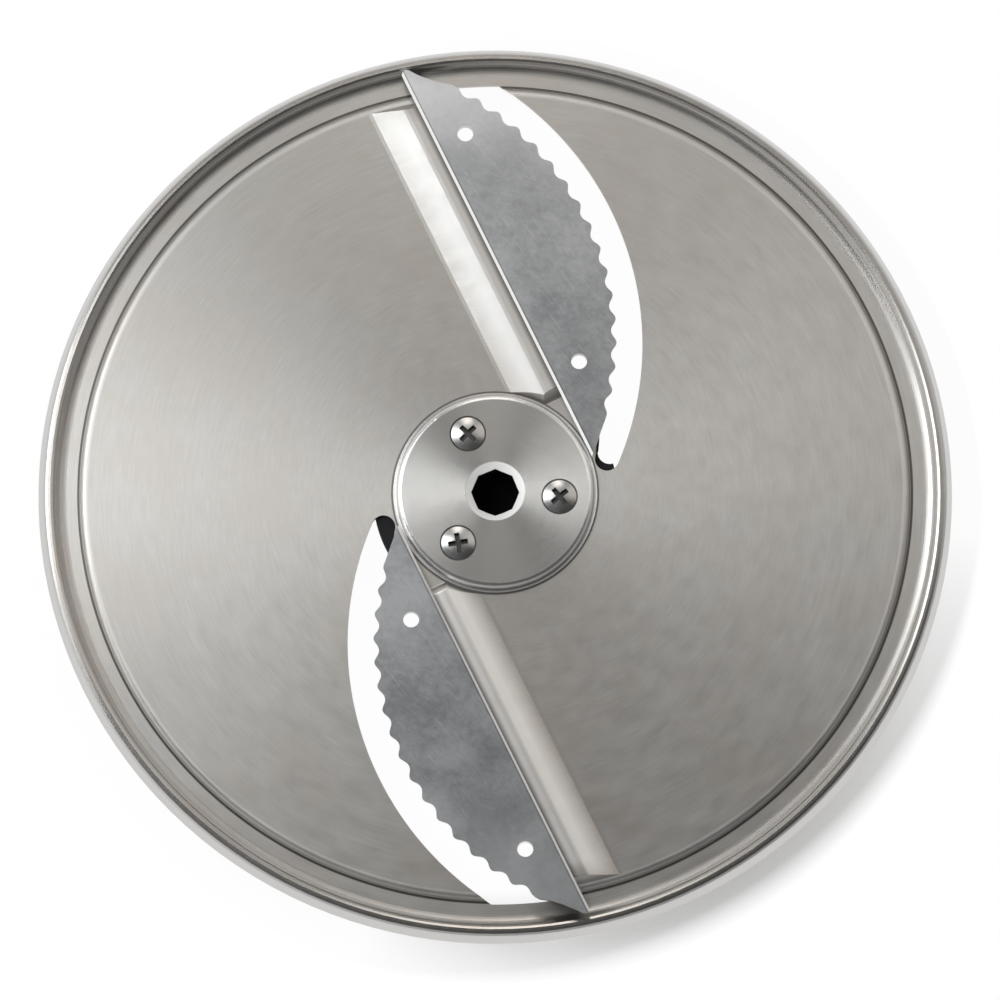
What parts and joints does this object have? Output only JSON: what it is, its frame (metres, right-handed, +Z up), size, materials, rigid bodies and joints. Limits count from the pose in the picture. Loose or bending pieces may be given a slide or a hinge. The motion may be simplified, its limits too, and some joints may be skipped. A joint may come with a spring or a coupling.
{
  "type": "food processor slicing disc",
  "caption": "Stainless slicing disc with serrated sickle blades over through slots, pressed ramps, a screwed steel hub cap and a plastic drive hub.",
  "frame": {"origin": "on the disc's axis, in the plane of the lower end of the drive hub", "axes": "+Z up along the axis, out of the face with the blades; the blades lean 26 degrees from the Y axis, with the first on the +Y side and its teeth towards +X"},
  "size_m": [0.205, 0.205, 0.017],
  "materials": {
    "disc_steel": "pressed stainless sheet, satin, faintly mottled",
    "blade_steel": "ground stainless strip with fine cross scratches",
    "hub_steel": "fine turned stainless",
    "screw_steel": "bright stainless, tumbled",
    "hub_plastic": "black moulded plastic"
  },
  "bodies": {
    "root": {"disc_plate": "disc_steel", "blade_1": "blade_steel", "blade_2": "blade_steel", "hub_cap": "hub_steel", "drive_hub": "hub_plastic", "hub_screw_1": "screw_steel", "hub_screw_2": "screw_steel", "hub_screw_3": "screw_steel"}
  },
  "joints": []
}
